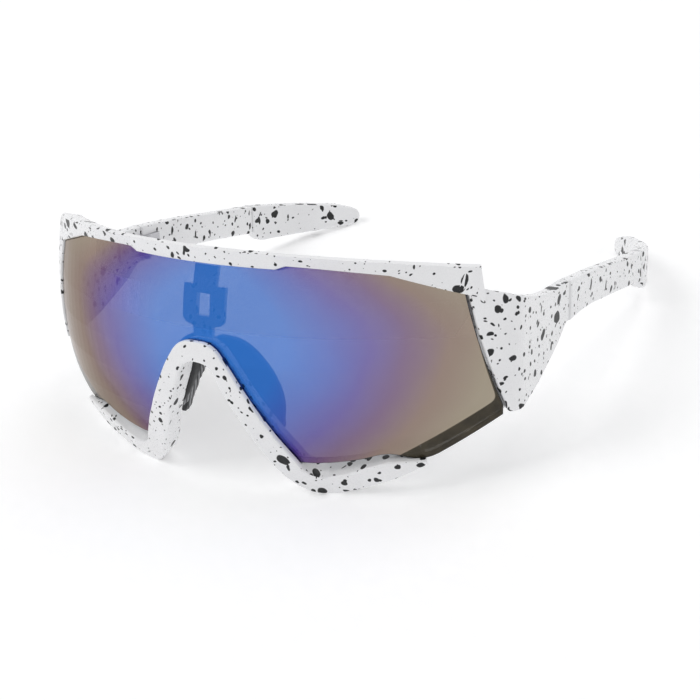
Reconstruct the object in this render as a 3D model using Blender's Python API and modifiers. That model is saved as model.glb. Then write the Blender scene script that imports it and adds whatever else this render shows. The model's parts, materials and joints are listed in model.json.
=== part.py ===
"""Wraparound sport sunglasses: one shield lens in a front frame with folding temples.

The front is drawn flat, as a developed sheet, and then wrapped round the face:
flat X is the distance along the face form, flat Z is height, and flat -Y is the
distance outward from the lens's front surface. World axes: +X is the wearer's left,
-Y is the way the glasses face, +Z is up, and the floor is at Z = 0.
"""
import math

import bmesh
import bpy
from mathutils import Matrix, Vector

mm = 0.001

# ---- face form: one line seen from above, from the middle to the end of a temple ----
FACE_RADIUS = 92.0 * mm
RIDGE_RADIUS = 6.0 * mm
RIDGE_MARGIN = 0.8 * mm
SIDE_HEADING = math.radians(92.0)
SEAM_Y = 66.0 * mm
BEND_Y = 121.0 * mm
BEND_RADIUS = 45.0 * mm
TIP_HEADING = math.radians(125.0)

# ---- the front's upright curve ----
RISE_RADIUS = 70.0 * mm
RISE_CENTRE = -14.4 * mm

# ---- lens ----
LENS_THICKNESS = 2.0 * mm
LENS_HALF_TOP = 62.1 * mm
LENS_FLARE = 7.6 * mm
LENS_CORNER_Z = -31.0 * mm
LENS_BOTTOM_Z = -42.7 * mm
LENS_TOP_INSET = 2.4 * mm
LENS_CHIN = 14.2 * mm

# ---- brow bar ----
BROW_TOP = 10.2 * mm
BROW_TAB_Z = 6.3 * mm
BROW_DROP = 3.2 * mm
BROW_BACK = 4.9 * mm
CREST_OUT = 3.6 * mm
LIP_OUT = 1.5 * mm
BROW_PAST_LENS = 1.9 * mm
BROW_END_SLANT = 1.9 * mm
TAB_HALF = 20.7 * mm
TAB_STEP = 0.9 * mm
TAB_SLANT = 2.5 * mm
KINK_FROM_END = 19.4 * mm
KINK_DROP = 1.7 * mm
END_SLOPE = 0.268

# ---- side shields, rims, nose frame ----
SHIELD_BACK = 3.0 * mm
SHIELD_FRONT = 0.6 * mm
RIM_THICKNESS = 2.8 * mm
RIM_WIDTH = 6.0 * mm
NOSE_FRONT = 1.7 * mm
NOSE_BACK = 4.7 * mm
NOSE_ARCH_TOP = -13.0 * mm
NOSE_ARCH_BAND = 5.4 * mm
NOSE_GRIP = 2.8 * mm
NOSE_LEG = 26.0 * mm
CLIP_THICKNESS = 1.5 * mm
CLIP_HALF = 6.5 * mm
WINDOW_HALF = 2.1 * mm

# ---- nose pads ----
PAD_STEM = 2.5 * mm
PAD_FLANGE = 2.4 * mm
PAD_DEPTH = 4.5 * mm
PAD_WALL = 2.6 * mm

# ---- temples ----
TEMPLE_LENGTH = 102.0 * mm
TEMPLE_THICKNESS = 4.0 * mm
TEMPLE_TOP = -5.2 * mm
TEMPLE_HEIGHT = 10.8 * mm
TIP_SHARE = 0.565
CORE_HEIGHT = 3.2 * mm
CORE_THICKNESS = 1.2 * mm
CORE_LENGTH = 42.0 * mm
CORE_Z = -14.7 * mm
CORE_SLOPE = math.radians(5.0)

# ---- hinges ----
KNUCKLE_RADIUS = 1.6 * mm
SCREW_RADIUS = 0.7 * mm
SCREW_RUNNING = 0.07 * mm
SCREW_HEAD_RADIUS = 1.3 * mm
SCREW_HEAD_HEIGHT = 0.8 * mm
SCREW_SLOT = 0.4 * mm
LEAF_HEIGHT = 5.8 * mm
FRONT_LEAF_LENGTH = 11.0 * mm
REAR_LEAF_LENGTH = 7.5 * mm
LEAF_THICKNESS = 0.9 * mm
HINGE_Z = -10.9 * mm
RIVET_RADIUS = 0.6 * mm
RIVET_DEPTH = 2.2 * mm
RIVET_HEAD_RADIUS = 1.05 * mm
RIVET_HEAD_HEIGHT = 0.5 * mm

# ---- clearances ----
SEAM_GAP = 0.3 * mm
LENS_GAP = 0.3 * mm
SLIP = 0.15 * mm

LENS_REAR = LENS_THICKNESS + LENS_GAP
FLOOR_TRIM = 0.25 * mm


# ======================================================================================
# face form
# ======================================================================================
LENS_HALF_BOTTOM = LENS_HALF_TOP + LENS_FLARE
RIDGE_X = LENS_HALF_BOTTOM + RIDGE_MARGIN
RIDGE_ANGLE = math.asin(RIDGE_X / FACE_RADIUS)
RIDGE_TURN = SIDE_HEADING - RIDGE_ANGLE
TIP_TURN = TIP_HEADING - SIDE_HEADING


def arc_step(x, y, heading, length, turn):
    """Follow a line that turns evenly by turn over length, and return its end."""
    if abs(turn) < 1e-9:
        return x + length * math.cos(heading), y + length * math.sin(heading), heading
    radius = length / turn
    end = heading + turn
    x_end = x + radius * (math.sin(end) - math.sin(heading))
    y_end = y - radius * (math.cos(end) - math.cos(heading))
    return x_end, y_end, end


FRONT_RUN = FACE_RADIUS * RIDGE_ANGLE
RIDGE_RUN = RIDGE_RADIUS * RIDGE_TURN
SIDE_START_Y = arc_step(*arc_step(0.0, 0.0, 0.0, FRONT_RUN, RIDGE_ANGLE),
                        RIDGE_RUN, RIDGE_TURN)[1]
SIDE_RUN = (BEND_Y - SIDE_START_Y) / math.sin(SIDE_HEADING)
BEND_RUN = BEND_RADIUS * TIP_TURN
STRETCHES = (
    (FRONT_RUN, RIDGE_ANGLE),
    (RIDGE_RUN, RIDGE_TURN),
    (SIDE_RUN, 0.0),
    (BEND_RUN, TIP_TURN),
    (1.0, 0.0),
)
RIDGE = FRONT_RUN + RIDGE_RUN
SEAM = RIDGE + (SEAM_Y - SIDE_START_Y) / math.sin(SIDE_HEADING)
BEND = RIDGE + SIDE_RUN


def face_line(run):
    """Place and heading of the face form's point at a distance run from the middle."""
    x, y, heading = 0.0, 0.0, 0.0
    left = abs(run)
    for length, turn in STRETCHES:
        step = min(left, length)
        x, y, heading = arc_step(x, y, heading, step, turn * step / length)
        left -= step
        if left <= 0.0:
            break
    if run < 0.0:
        return -x, y, -heading
    return x, y, heading


def along(x):
    """Distance along the face form to a half width seen from the front."""
    return FACE_RADIUS * math.asin(x / FACE_RADIUS)


def rise(z):
    """How far back the front lies at a height, and its slope there."""
    span = math.sqrt(RISE_RADIUS ** 2 - (z - RISE_CENTRE) ** 2)
    at_zero = math.sqrt(RISE_RADIUS ** 2 - RISE_CENTRE ** 2)
    return at_zero - span, (z - RISE_CENTRE) / span


def wrap_point(run, out, z):
    """Wrap a flat point: distance along the face, distance outward, height."""
    x, y, heading = face_line(run)
    back, slope = rise(z)
    fade = min(1.0, max(0.0, (RIDGE + 8 * mm - abs(run)) / (14 * mm)))
    fade = fade * fade * (3.0 - 2.0 * fade)
    back *= fade
    slope *= fade
    normal = Vector((math.sin(heading), -math.cos(heading), math.cos(heading) * slope))
    normal.normalize()
    return Vector((x, y + back, z)) + normal * out


# ======================================================================================
# modelling helpers
# ======================================================================================
def clear_scene():
    for obj in list(bpy.data.objects):
        bpy.data.objects.remove(obj, do_unlink=True)


def new_collection(name):
    collection = bpy.data.collections.new(name)
    bpy.context.scene.collection.children.link(collection)
    return collection


def add_object(name, mesh, collection):
    obj = bpy.data.objects.new(name, mesh)
    collection.objects.link(obj)
    return obj


def material(name, colour, roughness, metallic=0.0):
    mat = bpy.data.materials.new(name)
    mat.use_nodes = True
    shader = mat.node_tree.nodes["Principled BSDF"]
    shader.inputs["Base Color"].default_value = (*colour, 1.0)
    shader.inputs["Roughness"].default_value = roughness
    shader.inputs["Metallic"].default_value = metallic
    mat.diffuse_color = (*colour, 1.0)
    return mat


def evaluated_mesh(obj):
    """The object's mesh with its modifiers applied, in scene coordinates."""
    graph = bpy.context.evaluated_depsgraph_get()
    mesh = bpy.data.meshes.new_from_object(obj.evaluated_get(graph), depsgraph=graph)
    mesh.transform(obj.matrix_world)
    return mesh


def face_outward(bm):
    """Turn every face of a closed solid outward."""
    bmesh.ops.recalc_face_normals(bm, faces=bm.faces)
    if bm.calc_volume(signed=True) < 0.0:
        bmesh.ops.reverse_faces(bm, faces=bm.faces)


def bake(obj, collection):
    """Turn a curve, or an object with modifiers, into a plain closed mesh object."""
    bpy.context.view_layer.update()
    mesh = evaluated_mesh(obj)
    name = obj.name
    bpy.data.objects.remove(obj, do_unlink=True)
    bm = bmesh.new()
    bm.from_mesh(mesh)
    bmesh.ops.remove_doubles(bm, verts=bm.verts, dist=0.01 * mm)
    face_outward(bm)
    bmesh.ops.dissolve_limit(bm, angle_limit=math.radians(0.1), verts=bm.verts, edges=bm.edges)
    bm.to_mesh(mesh)
    bm.free()
    return add_object(name, mesh, collection)


def plate(name, outline, front, back, edge=0.0, grow=0.0):
    """A flat plate from an outline of (distance, height, "corner" or "smooth") points.

    front and back are distances outward from the lens's front surface. edge rounds
    the rims, and grow offsets the outline outward.
    """
    curve = bpy.data.curves.new(name, "CURVE")
    curve.dimensions = "2D"
    curve.fill_mode = "BOTH"
    curve.extrude = (front - back) / 2.0 - edge
    curve.bevel_depth = edge
    curve.bevel_resolution = 1
    curve.offset = grow - edge
    curve.resolution_u = 4
    spline = curve.splines.new("BEZIER")
    spline.bezier_points.add(len(outline) - 1)
    for point, (x, z, kind) in zip(spline.bezier_points, outline):
        point.co = (x, z, 0.0)
        handle = "AUTO" if kind == "smooth" else "VECTOR"
        point.handle_left_type = handle
        point.handle_right_type = handle
    spline.use_cyclic_u = True
    obj = add_object(name, curve, CUTTERS)
    obj.rotation_euler = (math.pi / 2.0, 0.0, 0.0)
    obj.location = (0.0, -(front + back) / 2.0, 0.0)
    return bake(obj, CUTTERS)


def box(name, centre, size, turn=0.0):
    """A box in flat coordinates, turned about the outward axis."""
    mesh = bpy.data.meshes.new(name)
    bm = bmesh.new()
    bmesh.ops.create_cube(bm, size=1.0)
    bmesh.ops.scale(bm, verts=bm.verts, vec=size)
    bmesh.ops.rotate(bm, verts=bm.verts, matrix=Matrix.Rotation(turn, 3, "Y"))
    bmesh.ops.translate(bm, verts=bm.verts, vec=centre)
    bm.to_mesh(mesh)
    bm.free()
    return add_object(name, mesh, CUTTERS)


def rod(name, radius, length, place, segments=24, tip_radius=None):
    """A rod along its own +Z from place, a matrix for its start."""
    mesh = bpy.data.meshes.new(name)
    bm = bmesh.new()
    bmesh.ops.create_cone(bm, cap_ends=True, segments=segments, radius1=radius,
                          radius2=radius if tip_radius is None else tip_radius, depth=length)
    bmesh.ops.translate(bm, verts=bm.verts, vec=(0.0, 0.0, length / 2.0))
    bm.transform(place)
    face_outward(bm)
    bm.to_mesh(mesh)
    bm.free()
    return add_object(name, mesh, CUTTERS)


def combine(obj, tools, operation):
    """Boolean obj with each tool in turn and drop the tools."""
    for tool in tools:
        modifier = obj.modifiers.new(operation.lower(), "BOOLEAN")
        modifier.operation = operation
        modifier.solver = "EXACT"
        modifier.object = tool
        obj = bake(obj, CUTTERS)
    for tool in tools:
        bpy.data.objects.remove(tool, do_unlink=True)
    return obj


def slice_flat(obj, runs, heights):
    """Cut the faces of a flat solid along planes, so that it can be wrapped smoothly."""
    bm = bmesh.new()
    bm.from_mesh(obj.data)
    planes = [((run, 0.0, 0.0), (1.0, 0.0, 0.0)) for run in runs]
    planes += [((0.0, 0.0, height), (0.0, 0.0, 1.0)) for height in heights]
    for place, normal in planes:
        geometry = bm.verts[:] + bm.edges[:] + bm.faces[:]
        bmesh.ops.bisect_plane(bm, geom=geometry, plane_co=place, plane_no=normal,
                               dist=0.002 * mm)
    bmesh.ops.triangulate(bm, faces=bm.faces, quad_method="BEAUTY", ngon_method="BEAUTY")
    bm.to_mesh(obj.data)
    bm.free()


def steps(start, end, step):
    count = max(1, round((end - start) / step))
    return [start + (end - start) * i / count for i in range(count + 1)]


def wrap(obj, step=3.6 * mm, height_step=9.0 * mm):
    """Wrap a flat solid round the face form."""
    xs = [vertex.co.x for vertex in obj.data.vertices]
    zs = [vertex.co.z for vertex in obj.data.vertices]
    low, high = min(xs), max(xs)
    curved = steps(-FRONT_RUN, FRONT_RUN, step)
    for side in (-1.0, 1.0):
        curved += [side * run for run in steps(FRONT_RUN, RIDGE, RIDGE_RUN / 5.0)]
        curved += [side * run for run in steps(RIDGE, RIDGE + 8 * mm, 4 * mm)]
        curved += [side * run for run in steps(BEND, BEND + BEND_RUN, step)]
    runs = [run for run in curved if low < run < high]
    heights = []
    if low < FRONT_RUN and max(zs) - min(zs) > height_step:
        heights = steps(min(zs), max(zs), height_step)[1:-1]
    slice_flat(obj, runs, heights)
    for vertex in obj.data.vertices:
        vertex.co = wrap_point(vertex.co.x, -vertex.co.y, vertex.co.z)
    return obj


def mirror_whole(obj):
    """Make a left half whole across the middle plane."""
    modifier = obj.modifiers.new("mirror", "MIRROR")
    modifier.use_axis[0] = True
    modifier.use_bisect_axis[0] = True
    modifier.use_bisect_flip_axis[0] = False
    modifier.use_mirror_merge = True
    modifier.merge_threshold = 0.05 * mm
    return bake(obj, CUTTERS)


def mirrored_mesh(mesh):
    copy = mesh.copy()
    copy.transform(Matrix.Scale(-1.0, 4, (1.0, 0.0, 0.0)))
    copy.flip_normals()
    return copy


def place_part(name, mesh, mat, origin=(0.0, 0.0, 0.0), smooth_angle=35.0):
    """Add a finished sub-part with its origin at a given point and stand it on STANCE."""
    mesh.transform(Matrix.Translation(-Vector(origin)))
    mesh.name = name
    mesh.materials.clear()
    mesh.materials.append(mat)
    mesh.shade_smooth()
    mesh.set_sharp_from_angle(angle=math.radians(smooth_angle))
    obj = add_object(name, mesh, PARTS)
    obj.location = origin
    obj.parent = STANCE
    return obj


def place_single(name, obj, mat):
    mesh = obj.data.copy()
    bpy.data.objects.remove(obj, do_unlink=True)
    return place_part(name, mesh, mat)


def place_pair(name, obj, mat, origin=(0.0, 0.0, 0.0), suffix=""):
    """Place the left sub-part and its mirror image on the right."""
    left = obj.data.copy()
    right = mirrored_mesh(left)
    bpy.data.objects.remove(obj, do_unlink=True)
    place_part(name + "_left" + suffix, left, mat, origin)
    place_part(name + "_right" + suffix, right, mat, (-origin[0], origin[1], origin[2]))


# ======================================================================================
# outlines, on the wearer's left half
# ======================================================================================
def brow_top(run):
    return BROW_TOP - BROW_DROP * (run / along(LENS_HALF_TOP + 3.5 * mm)) ** 2.3


def brow_low(run):
    """Height of the brow bar's lower edge: tab, step, shallow run, then the kink."""
    if run <= TAB_HALF:
        return BROW_TAB_Z
    top_of_step = BROW_TAB_Z + TAB_STEP
    step_end = TAB_HALF + TAB_SLANT
    if run <= step_end:
        return BROW_TAB_Z + TAB_STEP * (run - TAB_HALF) / TAB_SLANT
    kink_run = along(LENS_HALF_TOP) - KINK_FROM_END
    kink = top_of_step - KINK_DROP
    if run <= kink_run:
        share = (run - step_end) / (kink_run - step_end)
        return top_of_step + (kink - top_of_step) * share ** 1.5
    return kink - (run - kink_run) * END_SLOPE


def mirror_outline(half):
    """Close a left half outline, given from the middle outward and back, as a whole."""
    return half + [(-x, z, kind) for x, z, kind in reversed(half) if x > 1e-6]


def lens_half():
    top = along(LENS_HALF_TOP)
    chin = along(LENS_HALF_BOTTOM - LENS_CHIN)
    notch = nose_outer(LENS_BOTTOM_Z - 2.2 * mm) - NOSE_GRIP
    under = chin - notch
    return [
        (0.0, brow_top(0.0) - LENS_TOP_INSET, "smooth"),
        (0.37 * top, brow_top(0.37 * top) - LENS_TOP_INSET, "smooth"),
        (0.69 * top, brow_top(0.69 * top) - LENS_TOP_INSET, "smooth"),
        (top - 0.4 * mm, brow_top(top) - LENS_TOP_INSET, "corner"),
        (top, brow_low(top), "corner"),
        (along(LENS_HALF_BOTTOM) - 0.9 * mm, LENS_CORNER_Z + 2.0 * mm, "corner"),
        (along(LENS_HALF_BOTTOM) - 1.2 * mm, LENS_CORNER_Z - 0.7 * mm, "corner"),
        (chin, LENS_BOTTOM_Z + 1.2 * mm, "corner"),
        (notch + 0.93 * under, LENS_BOTTOM_Z + 0.2 * mm, "smooth"),
        (notch + 0.84 * under, LENS_BOTTOM_Z, "smooth"),
        (notch + 0.68 * under, LENS_BOTTOM_Z + 1.4 * mm, "smooth"),
        (notch + 0.47 * under, LENS_BOTTOM_Z - 0.4 * mm, "smooth"),
        (notch + 0.19 * under, LENS_BOTTOM_Z - 2.1 * mm, "smooth"),
        (notch, LENS_BOTTOM_Z - 2.3 * mm, "corner"),
        (nose_outer(-30 * mm) - NOSE_GRIP, -30 * mm, "corner"),
        (nose_outer(-21 * mm) - NOSE_GRIP, -21 * mm, "smooth"),
        (3.4 * mm, NOSE_ARCH_TOP - NOSE_GRIP - 0.6 * mm, "smooth"),
        (0.0, NOSE_ARCH_TOP - NOSE_GRIP, "smooth"),
    ]


def nose_outer(z):
    """Distance from the middle to the nose frame leg's outer edge."""
    return 14.4 * mm - 0.565 * (z + 28 * mm)


def nose_inner(z):
    """Distance from the middle to the nose opening's edge."""
    return 8.2 * mm - 0.49 * (z + 28 * mm)


def nose_frame_half():
    """Outer edge, wing and nose opening, from the arch's crown round to its underside."""
    leg = NOSE_LEG
    tail = along(LENS_HALF_BOTTOM - LENS_CHIN) - 3.4 * mm
    wing = tail - leg
    return [
        (0.0, NOSE_ARCH_TOP, "smooth"),
        (4.6 * mm, NOSE_ARCH_TOP - 0.8 * mm, "smooth"),
        (nose_outer(-18 * mm) - 0.3 * mm, -18 * mm, "smooth"),
        (nose_outer(-24 * mm), -24 * mm, "corner"),
        (nose_outer(-43 * mm), -43 * mm, "corner"),
        (24.8 * mm, -46.3 * mm, "smooth"),
        (28.6 * mm, -47.9 * mm, "smooth"),
        (leg + 0.265 * wing, -47.0 * mm, "smooth"),
        (leg + 0.483 * wing, -44.6 * mm, "smooth"),
        (leg + 0.689 * wing, LENS_BOTTOM_Z, "corner"),
        (tail, LENS_BOTTOM_Z + 0.4 * mm, "corner"),
        (tail, LENS_BOTTOM_Z - 0.8 * mm, "corner"),
        (tail - 2.0 * mm, LENS_BOTTOM_Z - 1.9 * mm, "smooth"),
        (leg + 0.781 * wing, LENS_BOTTOM_Z - 4.1 * mm, "smooth"),
        (leg + 0.563 * wing, -49.5 * mm, "smooth"),
        (leg + 0.298 * wing, -52.0 * mm, "smooth"),
        (27.2 * mm, -53.6 * mm, "smooth"),
        (22.6 * mm, -52.4 * mm, "smooth"),
        (nose_inner(-48 * mm) + 0.2 * mm, -48 * mm, "smooth"),
        (nose_inner(-42 * mm), -42 * mm, "corner"),
        (nose_inner(-24 * mm), -24 * mm, "corner"),
        (4.4 * mm, -20.0 * mm, "smooth"),
        (0.0, NOSE_ARCH_TOP - NOSE_ARCH_BAND, "smooth"),
    ]


def shield_outline():
    """Side shield, from under the brow bar down the lens edge and back to the seam."""
    top = along(LENS_HALF_TOP) + 0.6 * mm
    foot = along(LENS_HALF_BOTTOM)
    return [
        (top, 1.4 * mm, "corner"),
        (top, 0.2 * mm, "corner"),
        (foot - 0.2 * mm, LENS_CORNER_Z + 1.8 * mm, "corner"),
        (foot + 0.1 * mm, LENS_CORNER_Z + 0.3 * mm, "smooth"),
        (foot + 2.0 * mm, LENS_CORNER_Z - 0.1 * mm, "smooth"),
        (foot + 7.6 * mm, LENS_CORNER_Z + 1.4 * mm, "smooth"),
        (foot + 15.0 * mm, LENS_CORNER_Z + 4.2 * mm, "corner"),
        (SEAM - 7.0 * mm, -20.0 * mm, "smooth"),
        (SEAM - 1.2 * mm, TEMPLE_TOP - TEMPLE_HEIGHT, "smooth"),
        (SEAM, TEMPLE_TOP - TEMPLE_HEIGHT, "corner"),
        (SEAM, TEMPLE_TOP, "corner"),
        (SEAM - 14 * mm, TEMPLE_TOP + 0.3 * mm, "smooth"),
        (RIDGE + 5 * mm, TEMPLE_TOP + 2.0 * mm, "smooth"),
        (FRONT_RUN, -0.6 * mm, "smooth"),
        (top + 6 * mm, 0.7 * mm, "corner"),
        (top + 3 * mm, 1.4 * mm, "corner"),
    ]


def rim_end():
    """Where the rim behind the lens ends, in front of the nose frame's wing."""
    return along(LENS_HALF_BOTTOM - LENS_CHIN) - 4.1 * mm


def rim_outline():
    """Rim behind the lens: a narrow ledge down its side and a wide band below."""
    end = rim_end()
    top = along(LENS_HALF_TOP)
    foot = along(LENS_HALF_BOTTOM)
    return [
        (top - 1.4 * mm, brow_low(top) + 1.2 * mm, "corner"),
        (foot - 3.2 * mm, LENS_CORNER_Z + 6.4 * mm, "smooth"),
        (foot - 5.2 * mm, LENS_CORNER_Z + 2.2 * mm, "smooth"),
        (end + 6.9 * mm, LENS_BOTTOM_Z + RIM_WIDTH + 0.5 * mm, "corner"),
        (end, LENS_BOTTOM_Z + 3.4 * mm, "corner"),
        (end, LENS_BOTTOM_Z + 0.5 * mm, "corner"),
        (end + 2.9 * mm, LENS_BOTTOM_Z + 1.2 * mm, "corner"),
        (foot - 0.6 * mm, LENS_CORNER_Z - 0.7 * mm, "corner"),
        (foot + 3.0 * mm, LENS_CORNER_Z + 0.6 * mm, "corner"),
        (top + 3.5 * mm, brow_low(top) + 1.2 * mm, "corner"),
    ]


# ======================================================================================
# front
# ======================================================================================
def brow_section(run, end):
    """Section of the brow bar at a distance along it: (outward, height) points."""
    share = min(1.0, run / end)
    low = brow_low(run)
    top = brow_top(run)
    crest = CREST_OUT - (CREST_OUT - 1.4 * mm) * share ** 3
    lip = LIP_OUT - (LIP_OUT - 0.9 * mm) * share ** 3
    return low, top, crest, lip


def brow_bar():
    """The brow bar's left half as a loft, drawn flat, ending in a slanted face."""
    block = along(LENS_HALF_TOP + BROW_PAST_LENS)
    foot = block + BROW_END_SLANT
    runs = [-2 * mm, 0.0]
    runs += steps(0.0, TAB_HALF, 3.5 * mm)[1:]
    runs += [TAB_HALF + TAB_SLANT]
    kink = along(LENS_HALF_TOP) - KINK_FROM_END
    runs += steps(TAB_HALF + TAB_SLANT, kink, 3.5 * mm)[1:]
    runs += steps(kink, block, 3.5 * mm)[1:]
    rings = [(run, *brow_section(abs(run), block), BROW_BACK) for run in runs]
    rings.append((foot, brow_low(block) - 1.6 * mm, 1.0 * mm, 1.1 * mm, 0.8 * mm,
                  SHIELD_BACK + 0.6 * mm))
    bm = bmesh.new()
    loops = []
    for run, low, top, crest, lip, back in rings:
        soft = min(0.7 * mm, (top - low) * 0.25)
        section = [
            (lip - 0.3 * mm, low), (lip, low + 0.3 * mm),
            (crest, top - soft), (crest - soft, top),
            (-back + soft, top), (-back, top - soft),
            (-back, low + 0.3 * mm), (-back + 0.3 * mm, low),
        ]
        loops.append([bm.verts.new((run, -out, z)) for out, z in section])
    for near, far in zip(loops, loops[1:]):
        for i in range(len(near)):
            j = (i + 1) % len(near)
            bm.faces.new((near[i], near[j], far[j], far[i]))
    bm.faces.new(loops[0])
    bm.faces.new(loops[-1])
    face_outward(bm)
    mesh = bpy.data.meshes.new("brow_bar")
    bm.to_mesh(mesh)
    bm.free()
    return add_object("brow_bar", mesh, CUTTERS)


def lens_pocket(name, front=LENS_GAP, back=-LENS_REAR):
    return plate(name, mirror_outline(lens_half()), front, back, grow=LENS_GAP)


def build_front_frame():
    frame = brow_bar()
    shield = plate("shield", shield_outline(), SHIELD_FRONT, -SHIELD_BACK, edge=0.5 * mm)
    rim_back = -LENS_REAR - RIM_THICKNESS
    rim = plate("rim", rim_outline(), -LENS_REAR - 0.02 * mm, rim_back, edge=0.4 * mm)
    frame = combine(frame, [shield, rim], "UNION")
    frame = combine(frame, [lens_pocket("pocket")], "DIFFERENCE")
    frame = wrap(frame)
    frame = combine(frame, rivet_holes(-1.0), "DIFFERENCE")
    frame = mirror_whole(frame)
    return place_single("front_frame", frame, WHITE)


def build_lens():
    lens = plate("lens", mirror_outline(lens_half()), 0.0, -LENS_THICKNESS, edge=0.25 * mm)
    return place_single("lens", wrap(lens), MIRROR_LENS)


def build_nose_frame():
    body = plate("nose", mirror_outline(nose_frame_half()), NOSE_FRONT, -NOSE_BACK,
                 edge=0.6 * mm)
    body = combine(body, [lens_pocket("slot")], "DIFFERENCE")
    split = rim_end() - SEAM_GAP - 0.1 * mm
    for side in (1.0, -1.0):
        tongue = plate("tongue", [
            (side * (split - 8.8 * mm), LENS_BOTTOM_Z - 0.9 * mm, "corner"),
            (side * split, LENS_BOTTOM_Z - 0.4 * mm, "corner"),
            (side * split, LENS_BOTTOM_Z + 3.2 * mm, "corner"),
            (side * (split - 7.8 * mm), LENS_BOTTOM_Z + 0.9 * mm, "corner"),
        ], -LENS_REAR - 0.02 * mm, -LENS_REAR - RIM_THICKNESS, edge=0.3 * mm)
        body = combine(body, [tongue], "UNION")
    return place_single("nose_frame", wrap(body), WHITE)


def build_centre_clip():
    top = brow_low(0.0) - SEAM_GAP
    foot = NOSE_ARCH_TOP + SEAM_GAP
    neck = 3.6 * mm
    half = [
        (neck, top, "corner"),
        (neck, 0.8 * mm, "corner"),
        (CLIP_HALF, 0.8 * mm, "corner"),
        (CLIP_HALF, -8.2 * mm, "corner"),
        (CLIP_HALF - 1.2 * mm, -9.4 * mm, "corner"),
        (neck - 0.5 * mm, -10.0 * mm, "corner"),
        (neck - 0.7 * mm, foot, "corner"),
    ]
    front = -LENS_REAR - 0.1 * mm
    clip = plate("clip", mirror_outline(half), front, front - CLIP_THICKNESS, edge=0.3 * mm)
    window = box("window", (0.0, -front + CLIP_THICKNESS / 2.0, -4.2 * mm),
                 (2 * WINDOW_HALF, CLIP_THICKNESS * 2.0, 5.9 * mm))
    clip = combine(clip, [window], "DIFFERENCE")
    return place_single("centre_clip", wrap(clip), WHITE)


def build_nose_pads():
    """Pads: a wall on the nose frame's back, and a flange that spreads out behind it."""
    seat = -NOSE_BACK - SLIP
    front = seat - PAD_STEM
    rear = front - PAD_FLANGE - PAD_DEPTH
    flange = plate("pad", [
        (1.2 * mm, NOSE_ARCH_TOP - 0.6 * mm, "corner"),
        (4.0 * mm, NOSE_ARCH_TOP - 0.6 * mm, "smooth"),
        (8.8 * mm, -14.6 * mm, "smooth"),
        (14.6 * mm, -19.4 * mm, "smooth"),
        (18.5 * mm, -26.6 * mm, "smooth"),
        (19.3 * mm, -33.0 * mm, "smooth"),
        (17.9 * mm, -39.3 * mm, "smooth"),
        (nose_inner(-41.6 * mm) + 2.2 * mm, -41.6 * mm, "smooth"),
        (nose_inner(-37 * mm) + 0.2 * mm, -37 * mm, "smooth"),
        (nose_inner(-32 * mm) - 0.6 * mm, -32 * mm, "smooth"),
        (nose_inner(-26 * mm) - 0.8 * mm, -26 * mm, "smooth"),
        (4.0 * mm, -20.4 * mm, "smooth"),
        (1.2 * mm, -18.9 * mm, "smooth"),
    ], front, front - PAD_FLANGE, edge=0.5 * mm)
    wall = plate("pad_wall", [
        (1.4 * mm, -18.8 * mm, "smooth"),
        (4.2 * mm, -20.2 * mm, "smooth"),
        (nose_inner(-26 * mm) - 0.6 * mm, -26 * mm, "smooth"),
        (nose_inner(-34 * mm) - 0.2 * mm, -34 * mm, "smooth"),
        (nose_inner(-37 * mm) + 1.4 * mm, -37 * mm, "smooth"),
        (nose_inner(-34 * mm) + PAD_WALL, -34 * mm, "smooth"),
        (nose_inner(-26 * mm) + PAD_WALL, -26 * mm, "smooth"),
        (6.2 * mm, -18.4 * mm, "smooth"),
        (1.4 * mm, -16.0 * mm, "smooth"),
    ], seat, rear, edge=0.8 * mm)
    slope = math.atan2(PAD_STEM + PAD_DEPTH, 17.5 * mm)
    trim = box("trim", (10 * mm, 20 * mm, 0.0), (60 * mm, 40 * mm, 120 * mm))
    deepest = Vector((0.0, -rear, -18 * mm))
    trim.data.transform(Matrix.Translation(deepest) @ Matrix.Rotation(-slope, 4, "X"))
    pad = combine(wall, [trim], "DIFFERENCE")
    pad = combine(flange, [pad], "UNION")
    place_pair("nose_pad", wrap(pad), RUBBER)


# ======================================================================================
# hinges
# ======================================================================================
def hinge_frame():
    """Axis point of the left hinge, and the frame with X outward, Y back and Z up."""
    x, y, heading = face_line(SEAM + SEAM_GAP / 2.0)
    outward = Vector((math.sin(heading), -math.cos(heading), 0.0))
    back = Vector((math.cos(heading), math.sin(heading), 0.0))
    depth = SHIELD_BACK + KNUCKLE_RADIUS + 2 * SLIP
    origin = Vector((x, y, HINGE_Z)) - outward * depth
    turn = Matrix((outward, back, Vector((0.0, 0.0, 1.0)))).transposed().to_4x4()
    return origin, Matrix.Translation(origin) @ turn


def leaf_length(side):
    return FRONT_LEAF_LENGTH if side < 0.0 else REAR_LEAF_LENGTH


def rivet_places(side):
    """Start of each rivet shank on the leaf before (-1) or behind (+1) the axis."""
    frame = hinge_frame()[1]
    face = KNUCKLE_RADIUS + 2 * SLIP
    places = []
    length = leaf_length(side)
    for i, reach in enumerate((length * 0.45, length * 0.8)):
        local = Matrix.Translation((face, side * reach, 0.0))
        tilt = Matrix.Rotation(math.pi / 2.0, 4, "Y")
        places.append((i + 1, frame @ local @ tilt))
    return places


def rivet_holes(side):
    """Blind holes in the plastic for the rivets of one leaf."""
    holes = []
    for _, place in rivet_places(side):
        start = place @ Matrix.Translation((0.0, 0.0, -1 * mm))
        holes.append(rod("rivet_hole", RIVET_RADIUS + SLIP, RIVET_DEPTH + SLIP + 1 * mm, start, 12))
    return holes


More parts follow.
